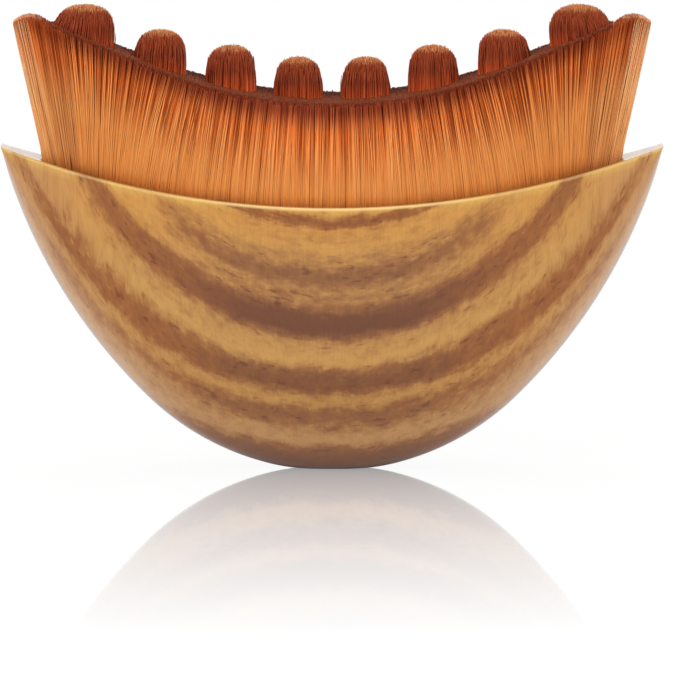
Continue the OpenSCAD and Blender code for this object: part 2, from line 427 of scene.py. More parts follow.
def outline(slope):
    """Front outline by its slope angle: three tangent arcs, scaled to the width, with the foot at 0."""
    slope = np.asarray(slope, float)
    bottom_end = BOTTOM_R * np.array([math.sin(BOTTOM_SLOPE), 1 - math.cos(BOTTOM_SLOPE)])
    flank_end = bottom_end + FLANK_R * np.array(
        [math.sin(FLANK_SLOPE) - math.sin(BOTTOM_SLOPE), math.cos(BOTTOM_SLOPE) - math.cos(FLANK_SLOPE)]
    )
    first, second = np.minimum(slope, BOTTOM_SLOPE), np.clip(slope, BOTTOM_SLOPE, FLANK_SLOPE)
    third = np.maximum(slope, FLANK_SLOPE)
    x = BOTTOM_R * np.sin(first) + FLANK_R * (np.sin(second) - math.sin(BOTTOM_SLOPE))
    x = x + SHOULDER_R * (np.sin(third) - math.sin(FLANK_SLOPE))
    z = BOTTOM_R * (1 - np.cos(first)) + FLANK_R * (math.cos(BOTTOM_SLOPE) - np.cos(second))
    z = z + SHOULDER_R * (math.cos(FLANK_SLOPE) - np.cos(third)) - FOOT_CUT
    tip = math.acos(math.cos(FLANK_SLOPE) - (TIP_Z + FOOT_CUT - flank_end[1]) / SHOULDER_R)
    tip_x = flank_end[0] + SHOULDER_R * (math.sin(tip) - math.sin(FLANK_SLOPE))
    return x * HALF_W / tip_x, z, tip


def handle_skin():
    """Sections: y = w |sin t|^(2/p), z = rim - depth cos(t)^(2/p), for t from -90 to 90 degrees.

    The foot is a soft maximum of z and 0, half of z plus the root of z2 + 4 s2, so that its edge is rounded.
    """
    tip_slope = outline(0.0)[2]
    slopes = np.linspace(-1, 1, 2 * STATIONS + 1) * tip_slope
    x, keel, _ = outline(np.abs(slopes))
    x = x * np.sign(slopes)
    rim = arc_z(RIM_R, x)
    depth = np.maximum(rim - keel, 0)
    ease = RIM_EASE * smooth_step(0, 4, depth)
    t = np.radians(np.linspace(-90, 90, 2 * SECTION_STEPS + 1))
    across = np.sign(t) * np.abs(np.sin(t)) ** (2 / BELLY_POWER)
    down = np.clip(np.cos(t), 0, 1) ** (2 / BELLY_POWER)
    y = lens_half(x)[:, None] * across
    z = (rim - ease)[:, None] - (depth - ease)[:, None] * down
    soft = (z + np.sqrt(z**2 + 4 * FOOT_SOFT**2)) / 2
    soft = soft - soft.min() * np.clip(1 - z, 0, 1)
    skin = np.stack([np.broadcast_to(x[:, None], y.shape), y, soft], axis=-1)
    return skin, ease


def loop_round(skin):
    """The skin's upper edge as one closed loop: front, right tip, back, left tip."""
    return np.concatenate([skin[:, 0], skin[-1, 1:-1], skin[::-1, -1], skin[0, -2:0:-1]])


def pocket_loop(skin):
    """The pocket's edge with as many points as the outer loop: two arcs and two flat ends, in plan."""
    x = skin[:, 0, 0] * POCKET_HALF / HALF_W
    front = np.stack([x, -lens_half(x, WALL)], axis=-1)
    end_y = lens_half(POCKET_HALF, WALL) * skin[-1, 1:-1, 1] / TIP_HALF_D
    right = np.stack([np.full(len(end_y), POCKET_HALF), end_y], axis=-1)
    back = front[::-1] * [1, -1]
    left = right[::-1] * [-1, 1]
    return np.concatenate([front, right, back, left])


def handle_surface():
    """The skin, then loops over the eased rim, across the flat, over the pocket's edge and down inside it."""
    skin, ease = handle_skin()
    outer = loop_round(skin)
    middle = skin.shape[1] - 2
    ease_round = np.concatenate([ease, np.full(middle, ease[-1]), ease[::-1], np.full(middle, ease[0])])
    # only the two long sides are eased inwards, not the flat ends at the tips
    on_long_side = np.abs(outer[:, 1]) > TIP_HALF_D * 0.999
    toward = -np.sign(outer[:, 1]) * on_long_side
    inner = pocket_loop(skin)
    loops = []
    for turn in np.radians([0, 22.5, 45, 67.5, 90]):
        place = outer.copy()
        place[:, 1] += toward * ease_round * (1 - math.cos(turn))
        place[:, 2] += ease_round * math.sin(turn)
        loops.append(place)
    edge = loops[-1]
    for share in (0.15, 0.5, 0.9, 1.0):
        plan = edge[:, :2] * (1 - share) + inner * share
        loops.append(np.column_stack([plan, arc_z(RIM_R, plan[:, 0]) - POCKET_EASE * (share == 1.0)]))
    for radius in np.linspace(RIM_R + POCKET_EASE_DEPTH, POCKET_R, 5):
        loops.append(np.column_stack([inner, arc_z(radius, inner[:, 0])]))
    for share in (0.6, 0.0):
        plan = inner * [1, share]
        loops.append(np.column_stack([plan, arc_z(POCKET_R, plan[:, 0])]))
    rings = np.stack(loops)
    ring_quads = grid_quads(rings.shape[0], rings.shape[1], around=True)
    points = np.concatenate([skin.reshape(-1, 3), rings.reshape(-1, 3)])
    quads = np.concatenate([grid_quads(*skin.shape[:2]), ring_quads + skin.shape[0] * skin.shape[1]])
    return points, quads


handle_points, handle_quads = handle_surface()
handle = weld(put_mesh("handle_wood", handle_points, handle_quads))
handle.data.set_sharp_from_angle(angle=SHARP_ANGLE)
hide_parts("handle")
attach(handle, "root")

# %% [markdown]
# ## Banded wood
# Zebra-like wood has dark growth bands in a golden ground. A picture could be wrapped round the handle, but
# wood is the same pattern all the way through, so the bands are worked out from the place of each point.
# The height above a shallow bowl-shaped sheet is looked up in a profile that says how dark the wood is at
# each height. Slow noise bends the bands, finer noise stretched along them frays their edges, and two more
# speckle them.

# %% Grain profiles
# the bowl is BOWL_SQUARE x2 + BOWL_FOURTH x4 high, and falls towards the back with slope LAYER_TILT
BOWL_SQUARE, BOWL_FOURTH = 0.0137, 3.6e-6
LAYER_TILT = 0.096
# low layers are a little flatter than the bowl, and high ones a little deeper: this much of x2 is added
BEND_FROM, BEND_TO, BEND_LOW, BEND_HIGH = 8.0, 17.0, 0.0031, -0.001
# the middle profile gives way to the side profile between these distances from the middle
SIDE_FROM, SIDE_TO = 7.0, 30.0
GRAIN_TOP = 37.0
# height above the bowl and darkness there, in the middle of the handle and at its sides
MIDDLE_BANDS = [
    (0.0, 0.95), (1.8, 0.86), (4.0, 0.04), (7.3, 0.64), (9.5, 0.16), (11.2, 0.82), (12.3, 0.8),
    (14.6, 0.05), (16.8, 0.2), (18.8, 1.0), (20.4, 0.98), (22.6, 0.42), (24.0, 0.34), (25.7, 0.67),
    (28.2, 0.26), (30.3, 0.08), (32.3, 0.14), (33.3, 0.72), (34.8, 0.1),
]
SIDE_BANDS = [
    (0.0, 0.75), (1.2, 0.5), (2.7, 0.08), (4.6, 0.22), (5.8, 0.22), (7.2, 0.44), (9.2, 0.16),
    (11.1, 0.6), (12.3, 0.58), (14.2, 0.05), (15.8, 0.16), (19.0, 0.62), (20.6, 0.62), (23.4, 0.02),
    (25.2, 0.2), (27.2, 0.54), (28.4, 0.4), (30.0, 0.02),
]
print(f"{len(MIDDLE_BANDS)} heights in the middle profile, {len(SIDE_BANDS)} at the sides")

# %% Helpers of the grain


def new_group(name, inputs, outputs):
    """Empty shader node group with named sockets: the group, the sockets it is given and those it fills."""
    group = bpy.data.node_groups.new(name, "ShaderNodeTree")
    for label, kind, default in inputs:
        socket = group.interface.new_socket(name=label, in_out="INPUT", socket_type=kind)
        if default is not None:
            socket.default_value = default
    for label, kind in outputs:
        group.interface.new_socket(name=label, in_out="OUTPUT", socket_type=kind)
    return group, group.nodes.new("NodeGroupInput").outputs, group.nodes.new("NodeGroupOutput").inputs


def noise(tree, vector, scale, detail=3.0, roughness=0.5):
    """Noise between about 0 and 1 as a value."""
    inputs = {"Vector": vector, "Scale": scale, "Detail": detail, "Roughness": roughness}
    return node(tree, "ShaderNodeTexNoise", inputs).outputs[0]


def vector_of(tree, x, y, z):
    """Output socket of a Combine XYZ node."""
    return node(tree, "ShaderNodeCombineXYZ", {0: x, 1: y, 2: z}).outputs[0]


def bent(tree, value, amount, texture):
    """value + amount times (noise - one half)."""
    return math_node(tree, "MULTIPLY_ADD", math_node(tree, "SUBTRACT", texture, 0.5), amount, value)


def band_profile(tree, height, stops):
    """Darkness at a height: an eased curve through the stops."""
    made = node(tree, "ShaderNodeValToRGB", {0: math_node(tree, "DIVIDE", height, GRAIN_TOP)})
    ramp = made.color_ramp
    ramp.interpolation = "EASE"
    ramp.elements[0].position, ramp.elements[1].position = stops[0][0] / GRAIN_TOP, stops[-1][0] / GRAIN_TOP
    for element, (_, darkness) in zip(ramp.elements, (stops[0], stops[-1])):
        element.color = (darkness, darkness, darkness, 1)
    for place, darkness in stops[1:-1]:
        ramp.elements.new(place / GRAIN_TOP).color = (darkness, darkness, darkness, 1)
    return made.outputs[0]


# %% Height of each point above the bowl
GRAIN_MASKS = ("Dark", "Height", "Side", "Mottle", "Hatch", "Rim Gap", "Plan Gap")

group, given, result = new_group(
    "banded_grain",
    [
        ("Place", "NodeSocketVector", None),
        ("Sway", "NodeSocketFloat", 1.4),
        ("Fray", "NodeSocketFloat", 2.0),
        ("Speckle", "NodeSocketFloat", 1.0),
    ],
    [(label, "NodeSocketFloat") for label in GRAIN_MASKS],
)
in_mm = node(group, "ShaderNodeVectorMath", {0: given["Place"], "Scale": 1 / MM}, operation="SCALE")
x, y, z = node(group, "ShaderNodeSeparateXYZ", {0: in_mm.outputs[0]}).outputs[:3]
square = product(group, x, x)
bowl = math_node(group, "MULTIPLY_ADD", square, BOWL_SQUARE, product(group, square, BOWL_FOURTH, square))
height = math_node(group, "SUBTRACT", math_node(group, "MULTIPLY_ADD", y, LAYER_TILT, z), bowl)
bend = map_range(group, height, BEND_FROM, BEND_TO, BEND_LOW, BEND_HIGH)
height = math_node(group, "MULTIPLY_ADD", bend, square, height)
apart = math_node(group, "ABSOLUTE", x)
side = map_range(group, apart, SIDE_FROM, SIDE_TO)
slow = noise(group, vector_of(group, product(group, apart, 0.8), y, height), 0.07, 2.0)
height = bent(group, height, given["Sway"], slow)
print("bowl height at the tips, mm:", round(BOWL_SQUARE * HALF_W**2 + BOWL_FOURTH * HALF_W**4, 1))

# %% Noises that run along the grain
# the bands get steeper towards the tips, so the run along them grows faster than x
RUN_CUBE = 2.9e-4
# how fast each noise changes along and across the bands, its detail and its roughness
GRAIN_NOISES = {
    "fray": (0.3, 0.8, 3.0, 0.5),
    "mottle": (0.55, 1.0, 4.0, 0.6),
    "dashes": (0.42, 1.5, 2.0, 0.5),
    "comb": (2.4, 0.5, 2.0, 0.5),
    "hatch": (3.4, 0.35, 2.0, 0.5),
}
run = product(group, x, math_node(group, "MULTIPLY_ADD", square, RUN_CUBE, 1.0))


def grain_noise(along, across, detail, roughness):
    """Noise at the place along and across the bands, each way on its own scale."""
    scaled = [product(group, v, k) for v, k in ((run, along), (y, along), (height, across))]
    return noise(group, vector_of(group, *scaled), 1.0, detail, roughness)


fray, mottle, dashes, comb, hatch = (grain_noise(*values) for values in GRAIN_NOISES.values())
print("noises of the grain:", ", ".join(GRAIN_NOISES))

# %% Darkness of the bands
COMB_SHARE = 0.7
# contrast of the speckles where a band is half dark, and everywhere
HALF_TONE, EVEN_TONE = 3.4, 0.04
DASH_DARK, DASH_PALE = 0.4, 0.2


def faded(dark, share, *masks):
    """Darkness made less by a share where all the masks are 1."""
    return product(group, dark, one_less(group, product(group, *masks, share)))


frayed = bent(group, bent(group, height, given["Fray"], fray), COMB_SHARE, comb)
middle_dark, side_dark = (band_profile(group, frayed, bands) for bands in (MIDDLE_BANDS, SIDE_BANDS))
dark = mix_colour(group, side, middle_dark, side_dark)
# paler wood: above the first dark band near the tips, near the rim of each side, and at the very tips
dark = faded(dark, 0.6, map_range(group, apart, 30.0, 38.0), map_range(group, height, 13.0, 16.0))
dark = faded(dark, 0.8, map_range(group, apart, 20.0, 25.0), map_range(group, height, 23.0, 24.6))
dark = faded(dark, 0.5, map_range(group, apart, 36.0, 42.0))
half_tone = math_node(group, "ADD", product(group, dark, HALF_TONE, one_less(group, dark)), EVEN_TONE)
speckled = product(group, math_node(group, "SUBTRACT", mottle, 0.5), given["Speckle"])
speckled = math_node(group, "ADD", speckled, map_range(group, dashes, 0.6, 0.72, 0.0, DASH_DARK))
speckled = math_node(group, "SUBTRACT", speckled, map_range(group, dashes, 0.26, 0.4, DASH_PALE, 0.0))
dark = math_node(group, "MULTIPLY_ADD", speckled, half_tone, dark, clamp=True)
print(f"dashes darken by up to {DASH_DARK} and lighten by up to {DASH_PALE} of the speckles' contrast")

# %% Distances from the rim and from the edge in plan


def arc_over_x(radius):
    """Height over its centre of an arc over x: the root of r2 - x2."""
    return math_node(group, "SQRT", math_node(group, "SUBTRACT", radius**2, square))


rim_height = math_node(group, "SUBTRACT", RIM_CENTRE_Z, arc_over_x(RIM_R))
rim_gap = math_node(group, "SUBTRACT", rim_height, z)
plan_half = math_node(group, "SUBTRACT", arc_over_x(PLAN_R), PLAN_CENTRE_Y)
plan_gap = math_node(group, "SUBTRACT", plan_half, math_node(group, "ABSOLUTE", y))
for label, socket in zip(GRAIN_MASKS, (dark, height, side, mottle, hatch, rim_gap, plan_gap)):
    group.links.new(socket, result[label])
grain_group = group
print("grain group:", len(group.nodes), "nodes")

# %% [markdown]
# ## The lacquered finish
# Gold, brown and umber follow the darkness, each a little warmer at the sides and, as a painted reflection
# of the white floor, paler and greyer low down. The lacquer is a clear coat. The pale line on the rim is a
# painted highlight, where the eased edge would catch the light. At a low angle the belly gets a painted
# sheen, and its outline a painted grey reflection, both mixed in by facing.

# %% Wood material
GOLD, GOLD_RIM, GOLD_LOW = rgb(189, 142, 77), rgb(197, 140, 66), rgb(188, 144, 98)
BROWN, BROWN_WARM, BROWN_LOW = rgb(142, 93, 53), rgb(149, 91, 42), rgb(149, 102, 67)
UMBER, UMBER_WARM, UMBER_LOW = rgb(105, 62, 39), rgb(116, 60, 27), rgb(128, 89, 70)
RIM_HIGHLIGHT_CREAM, RIM_YELLOW, TIP_SHEEN_PINK = rgb(240, 206, 138), rgb(212, 168, 84), rgb(182, 134, 90)
SHEEN, GRAZE_REFLECTION = rgb(220, 190, 160), rgb(140, 118, 110)
SHEEN_SHARE, GRAZE_REFLECTION_SHARE = 0.46, 0.85
LACQUER_ROUGHNESS, LACQUER_IOR = 0.06, 1.33


def wood_colour(tree, out, place_x):
    """Ground, bands and fine cross hatch, from the outputs of the grain group."""
    # painted reflection of the white floor: the lowest wood turns paler and greyer
    low = map_range(tree, out["Height"], 2.0, 10.0, 1.0, 0.0)
    high = map_range(tree, out["Height"], 29.0, 32.0)
    ground = mix_colour(tree, low, GOLD, GOLD_LOW)
    ground = mix_colour(tree, map_range(tree, out["Rim Gap"], 1.0, 12.0, 1.0, 0.0), ground, GOLD_RIM)
    ground = mix_colour(tree, map_range(tree, out["Mottle"], 0.45, 0.75, 0.0, 0.25), ground, BROWN_WARM)
    # painted sheen: towards the tips the ground is mixed to a hazy pink
    tips = map_range(tree, math_node(tree, "ABSOLUTE", place_x), 30 * MM, 42 * MM, 0.0, 0.6)
    ground = mix_colour(tree, tips, ground, TIP_SHEEN_PINK)
    ground = mix_colour(tree, map_range(tree, out["Rim Gap"], 0.2, 1.6, 0.7, 0.0), ground, RIM_YELLOW)
    bands = []
    for plain, warm, lowest in ((BROWN, BROWN_WARM, BROWN_LOW), (UMBER, UMBER_WARM, UMBER_LOW)):
        band = mix_colour(tree, low, mix_colour(tree, out["Side"], plain, warm), lowest)
        bands.append(mix_colour(tree, high, band, warm))
    colour = mix_colour(tree, map_range(tree, out["Dark"], 0.0, 0.5, kind="LINEAR"), ground, bands[0])
    colour = mix_colour(tree, map_range(tree, out["Dark"], 0.5, 1.0, kind="LINEAR"), colour, bands[1])
    lines = map_range(tree, out["Hatch"], 0.3, 0.7, 0.94, 1.06, "LINEAR")
    return mix_colour(tree, 1.0, colour, grey_of(tree, lines), "MULTIPLY")


def painted_sheen_and_graze(tree, colour, out, place_y, place_z):
    """Painted sheen on the belly and a painted grey reflection at its outline, off the rim and off the
    floor's mirror image.
    """
    facing = node(tree, "ShaderNodeLayerWeight", {"Blend": 0.5}).outputs["Facing"]
    mirrored = node(tree, "ShaderNodeLightPath").outputs["Is Glossy Ray"]
    where = product(tree, map_range(tree, out["Rim Gap"], 0.3, 1.4), one_less(tree, mirrored))
    off_floor = map_range(tree, place_z, 4 * MM, 16 * MM)
    off_belly = map_range(tree, math_node(tree, "ABSOLUTE", place_y), 3 * MM, 9 * MM, 1.0, 0.35)
    sheen = map_range(tree, facing, 0.2, 0.66, 0.0, SHEEN_SHARE, "LINEAR")
    # painted reflection: a greyer colour at the outline, by facing
    graze_reflection = map_range(tree, facing, 0.55, 0.9, 0.0, GRAZE_REFLECTION_SHARE, "LINEAR")
    colour = mix_colour(tree, product(tree, sheen, off_floor, where, off_belly), colour, SHEEN)
    return mix_colour(tree, product(tree, graze_reflection, where), colour, GRAZE_REFLECTION)


def wood_finish():
    """Wood colours, a painted highlight on the rim, painted sheen at a low angle, under a clear coat."""
    material, tree, shader = new_material("banded_wood")
    place = node(tree, "ShaderNodeTexCoord").outputs["Object"]
    place_x, place_y, place_z = node(tree, "ShaderNodeSeparateXYZ", {0: place}).outputs[:3]
    out = node(tree, "ShaderNodeGroup", {"Place": place}, node_tree=grain_group).outputs
    colour = wood_colour(tree, out, place_x)
    # painted highlight: a pale cream line along the eased rim, where it would catch the light
    edge = product(
        tree,
        map_range(tree, out["Rim Gap"], 0.1, 0.5, 0.85, 0.0),
        map_range(tree, out["Side"], 0.0, 1.0, 1.0, 0.35),
        map_range(tree, out["Plan Gap"], 0.5, 2.2, 1.0, 0.15),
    )
    colour = mix_colour(tree, edge, colour, RIM_HIGHLIGHT_CREAM)
    colour = painted_sheen_and_graze(tree, colour, out, place_y, place_z)
    tree.links.new(colour, shader.inputs["Base Color"])
    shader.inputs["Roughness"].default_value = 0.5
    shader.inputs["Specular IOR Level"].default_value = 0.05
    shader.inputs["Coat Weight"].default_value = 1.0
    shader.inputs["Coat Roughness"].default_value = LACQUER_ROUGHNESS
    shader.inputs["Coat IOR"].default_value = LACQUER_IOR
    return material


handle.data.materials.append(wood_finish())
print("handle finish:", handle.data.materials[0].name)

# %% [markdown]
# ## Filaments
# The head is a dense mass of fine filaments, taken to be nylon. Hair particles would be lost in an
# export, so each strand that shows is a real, closed, three-sided rod with a few joints. Its map says two
# things about every point: across, the strand's own tone, and upwards, how near its tip is. One small
# group of nodes turns that pair into a colour, so every bundle can share it.

# %% Strand builder
TONES = 32
DEPTH_MM = 20.0
LOWEST_UP, HIGHEST_UP = 0.01, 0.995
LOWEST_TONE, HIGHEST_TONE = 0.02, 0.98


def put_strands(name, path, width, tone, taper, tip_shift=0.0):
    """Three corners on a circle about every point of every path, joined into rods closed at both ends.

    path is strands x joints x 3, width and tone one number a strand, and taper one number a joint. The
    map's first number is the strand's tone, and its second is 1 less the distance to the tip as a share of
    20 mm. Tip shift, one number a strand, is added to that distance, so the pale tip, with its painted light,
    and the painted shade under it show shorter.
    """
    count, joints = path.shape[:2]
    spin = dice.uniform(0, 2 * math.pi, count)
    corner = spin[:, None] + np.arange(3) * 2 * math.pi / 3
    circle = np.stack([np.cos(corner), np.sin(corner), np.zeros_like(corner)], axis=-1)
    size = width[:, None] * np.broadcast_to(taper, (count, joints)) / 2
    points = path[:, :, None, :] + size[:, :, None, None] * circle[:, None, :, :]
    first = 3 * joints * np.arange(count)[:, None, None, None]
    joint = 3 * np.arange(joints - 1)[None, :, None, None]
    side = np.arange(3)[None, None, :, None]
    step = np.array([0, 1, 1, 0])
    quads = first + joint + (side + step) % 3 + 3 * np.array([0, 0, 1, 1])
    ends = 3 * joints * np.arange(count)[:, None]
    tris = np.concatenate([ends + 3 * (joints - 1) + [0, 1, 2], ends + [0, 2, 1]])
    step_length = np.linalg.norm(np.diff(path, axis=1), axis=-1)
    to_tip = np.concatenate([np.cumsum(step_length[:, ::-1], axis=1)[:, ::-1], np.zeros((count, 1))], axis=1)
    to_tip = to_tip + np.broadcast_to(tip_shift, count)[:, None]
    up = np.clip(1 - to_tip / DEPTH_MM, LOWEST_UP, HIGHEST_UP)
    column = np.floor(np.clip(tone, LOWEST_TONE, HIGHEST_TONE) * TONES) / TONES
    across = column[:, None, None] + np.array([0.05, 0.5, 0.95]) / TONES
    corner_map = [np.broadcast_to(part, (count, joints, 3)) for part in (across, up[:, :, None])]
    uv = np.stack(corner_map, axis=-1).reshape(-1, 2)
    quads, tris = quads.reshape(-1, 4), tris.reshape(-1, 3)
    corners = np.concatenate([quads.ravel(), tris.ravel()])
    obj = put_mesh(name, points.reshape(-1, 3), quads, tris, uv[corners])
    print(f"{name}: {count} strands, {2 * len(quads) + len(tris)} triangles")
    return obj


def dress(obj, material, slot, *nodes):
    """Finish, body and the CAD nodes that the piece stands for. The slot is not used."""
    obj.data.materials.append(material)
    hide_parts(*nodes)
    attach(obj, "root")
    return obj


def wander(x, knots, span=50.0):
    """Smooth random line over x from -1 to 1: random knots joined by a smooth step."""
    values = dice.uniform(-1, 1, knots)
    place = (np.clip(x, -span, span) + span) / (2 * span) * (knots - 1.001)
    knot = np.floor(place).astype(int)
    share = smooth_step(0, 1, place - knot)
    return values[knot] * (1 - share) + values[knot + 1] * share


print(f"a strand's colour is one of {TONES} tones, looked up over its last {DEPTH_MM:.0f} mm")

# %% [markdown]
# ## The colour of a strand
# The real filaments change colour along their length: pale at the very tip, partly their own colour and
# partly painted light through the thin tip; dark brown under it, partly dye and partly painted shade among
# the cut tips; then orange that pales towards the roots. A strand's tone makes that colour darker or lighter,
# and the few palest strands show as light streaks, partly painted highlights. Near the roots the streaks calm
# down, because the strands lie close there.

# %% Strand colours
# distances from the tip, in mm, between which streaks calm down and the palest strands darken
CALM_FROM, CALM_TO = 5.0, 10.5
DIM_FROM, DIM_TO, DIM_SHARE = 8.0, 14.0, 0.25

group, given, result = new_group(
    "strand_colour",
    [
        ("Map", "NodeSocketVector", None),
        ("Tip", "NodeSocketColor", None),
        ("Tip Length", "NodeSocketFloat", 1.0),
        ("Shade", "NodeSocketColor", None),
        ("Shade End", "NodeSocketFloat", 2.0),
        ("Body", "NodeSocketColor", None),
        ("Body End", "NodeSocketFloat", 8.0),
        ("Root", "NodeSocketColor", None),
        ("Dark Tone", "NodeSocketColor", None),
        ("Light Tone", "NodeSocketColor", None),
        ("Root Streaks", "NodeSocketFloat", 0.3),
        ("Pale", "NodeSocketColor", None),
        ("Pale From", "NodeSocketFloat", 6.0),
        ("Pale Share", "NodeSocketFloat", 0.8),
    ],
    [("Color", "NodeSocketColor")],
)
tone, up = node(group, "ShaderNodeSeparateXYZ", {0: given["Map"]}).outputs[:2]
deep = product(group, one_less(group, up), DEPTH_MM)
tip, shade_end, body_end = given["Tip Length"], given["Shade End"], given["Body End"]
colour = mix_colour(
    group, map_range(group, deep, product(group, tip, 0.35), tip), given["Tip"], given["Shade"]
)
colour = mix_colour(group, map_range(group, deep, tip, shade_end), colour, given["Body"])
rooted = map_range(group, deep, shade_end, body_end, kind="LINEAR")
colour = mix_colour(group, rooted, colour, given["Root"])
lightness = map_range(group, tone, 0.0, 0.85, kind="LINEAR")
tint = mix_colour(group, lightness, given["Dark Tone"], given["Light Tone"])
streaks = map_range(group, deep, CALM_FROM, CALM_TO, 1.0, given["Root Streaks"])
colour = mix_colour(group, streaks, colour, mix_colour(group, 1.0, colour, tint, "MULTIPLY"))
pale = product(
    group,
    map_range(group, tone, 0.82, 0.97),
    map_range(group, deep, 0.5, given["Pale From"]),
    map_range(group, deep, DIM_FROM, DIM_TO, 1.0, DIM_SHARE),
    given["Pale Share"],
)
colour = mix_colour(group, pale, colour, given["Pale"])
group.links.new(colour, result["Color"])
strand_group = group


def strand_finish(name, gloss=0.1, back_shade=1.0, **values):
    """Satin fibre whose colour the strand's own map gives, and that can be darker towards the back."""
    material, tree, shader = new_material(name)
    uv = node(tree, "ShaderNodeUVMap", uv_map="OFBake").outputs[0]
    made = node(tree, "ShaderNodeGroup", {"Map": uv}, node_tree=strand_group)
    for key, value in values.items():
        made.inputs[key.replace("_", " ")].default_value = value
    place = node(tree, "ShaderNodeTexCoord").outputs["Object"]
    back = node(tree, "ShaderNodeSeparateXYZ", {0: place}).outputs[1]
    shade = map_range(tree, back, 2 * MM, 6 * MM, 1.0, back_shade)
    colour = mix_colour(tree, 1.0, made.outputs["Color"], grey_of(tree, shade), "MULTIPLY")
    tree.links.new(colour, shader.inputs["Base Color"])
    shader.inputs["Roughness"].default_value = 0.45
    shader.inputs["Specular IOR Level"].default_value = gloss
    return material


BODY, ROOT = rgb(218, 108, 42), rgb(229, 147, 75)
LIGHT_STREAK, LIGHT_END = rgb(244, 176, 106), rgb(230, 184, 134)
SHADE, DEEP = rgb(148, 60, 30), rgb(128, 60, 34)

curtain_finish = strand_finish(
    "curtain_nylon",
    Tip=SHADE, Tip_Length=0.6, Shade=SHADE, Shade_End=4.6, Body=BODY, Body_End=11.0, Root=ROOT,
    Dark_Tone=(0.5, 0.34, 0.26, 1), Light_Tone=(1.34, 1.62, 1.9, 1), Root_Streaks=0.12,
    Pale=LIGHT_STREAK, Pale_From=6.0,
)
plateau_finish = strand_finish(
    "plateau_nylon", gloss=0.03, back_shade=0.55,
    Tip=rgb(130, 66, 41), Tip_Length=0.5, Shade=DEEP, Shade_End=2.0, Body=DEEP, Body_End=9.0, Root=SHADE,
    Dark_Tone=(0.7, 0.62, 0.58, 1), Light_Tone=(1.25, 1.3, 1.35, 1), Pale_Share=0.0,
)
tuft_finish = strand_finish(
    "tuft_nylon", gloss=0.14,
    Tip=rgb(214, 138, 82), Tip_Length=0.66, Shade=rgb(162, 68, 32), Shade_End=2.2,
    Body=rgb(150, 60, 28), Body_End=5.0, Root=rgb(240, 106, 50),
    Dark_Tone=(0.66, 0.54, 0.48, 1), Light_Tone=(1.3, 1.5, 1.75, 1), Pale_Share=0.0,
)
end_finish = strand_finish(
    "end_nylon",
    Tip=rgb(208, 134, 84), Tip_Length=0.7, Shade=rgb(182, 76, 28), Shade_End=5.0,
    Body=rgb(218, 106, 40), Body_End=11.0, Root=rgb(222, 142, 74),
    Dark_Tone=(0.5, 0.36, 0.28, 1), Light_Tone=(1.34, 1.8, 2.6, 1), Root_Streaks=0.5,
    Pale=LIGHT_END, Pale_From=1.2, Pale_Share=0.9,
)
finishes = (curtain_finish, plateau_finish, tuft_finish, end_finish)
print("strand finishes:", ", ".join(finish.name for finish in finishes))

# %% [markdown]
# ## The fibre bed
# Cut level with the plateau, the bed is a curtain of filaments front and back, and a field of blunt tips
# on top. Filaments stand square to the hollow rim, so they lean in a little, but the last ones at each end
# splay out. Only the outer skin of strands is built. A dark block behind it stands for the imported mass
# inside.

# %% Core of the bed
CORE_INSET, CORE_DROP = 0.9, 1.3
CORE_STATIONS = 61
# clearance to the pocket's wall, and to the plane between the bed and the end tufts
CLEAR = 0.1
# heights over which the core widens above the cup, and narrows on each side of the rim
WIDEN_H, NARROW_H = 0.4, 0.5


def bed_core():
    """Closed rings of the bed's section, from the roots to just under the tips, set in from the surface."""
    share = np.linspace(-1, 1, CORE_STATIONS)
    rings = []
    for radius, inset in (
        (ROOT_R, WALL + CUP_WALL),
        (POCKET_R - CUP_H, WALL + CUP_WALL),
        (POCKET_R - CUP_H - WIDEN_H, WALL + CLEAR),
        (RIM_R + NARROW_H, WALL + CLEAR),
        (RIM_R - NARROW_H, WALL + CORE_INSET),
    ):
        reach = parting_x(arc_z(radius, END_ROOT_X))
        x = share * reach
        y = lens_half(np.abs(x), inset)
        rings.append((x, y, arc_z(radius, x)))
    for level in (0.5, 1.0):
        x = share * (parting_x(arc_z(RIM_R, END_ROOT_X)) * (1 - level) + (END_INNER_X - CLEAR) * level)
        z = arc_z(RIM_R, x) * (1 - level) + (plateau(x) - CORE_DROP) * level
        rings.append((x, head_y(x, z) - CORE_INSET, z))
    x, y, z = rings[-1]
    rings.append((x, y * 0, z))
    loops = [
        np.concatenate([np.column_stack([x, -y, z]), np.column_stack([x, y, z])[::-1]]) for x, y, z in rings
    ]
    x, y, z = rings[0]
    middle = np.column_stack([x, y * 0, z])
    loops.insert(0, np.concatenate([middle, middle[::-1]]))
    loops = np.stack(loops)
    return loops.reshape(-1, 3), grid_quads(loops.shape[0], loops.shape[1], around=True)


def core_finish():
    """Faint upright streaks, pale at the rim and deep brown above, seen only between strands.

    The height over the rim is z less the rim's arc, taken as x2 / 2R.
    """
    material, tree, shader = new_material("packed_roots")
    place = node(tree, "ShaderNodeTexCoord").outputs["Object"]
    upright = node(tree, "ShaderNodeMapping", {"Vector": place, "Scale": (9000.0, 9000.0, 300.0)})
    streak = noise(tree, upright.outputs[0], 1.0, 2.0)
    colour = mix_colour(tree, streak, rgb(104, 42, 20), rgb(150, 66, 30))
    x, _, z = node(tree, "ShaderNodeSeparateXYZ", {0: place}).outputs[:3]
    above_low_point = math_node(tree, "SUBTRACT", z, (TIP_Z - RIM_DIP) * MM)
    risen = math_node(tree, "SUBTRACT", above_low_point, product(tree, x, x, 0.5 / (RIM_R * MM)))
    colour = mix_colour(tree, map_range(tree, risen, 2 * MM, 8 * MM, 1.0, 0.0), colour, rgb(226, 136, 66))
    tree.links.new(colour, shader.inputs["Base Color"])
    shader.inputs["Roughness"].default_value = 0.8
    shader.inputs["Specular IOR Level"].default_value = 0.05
    return material


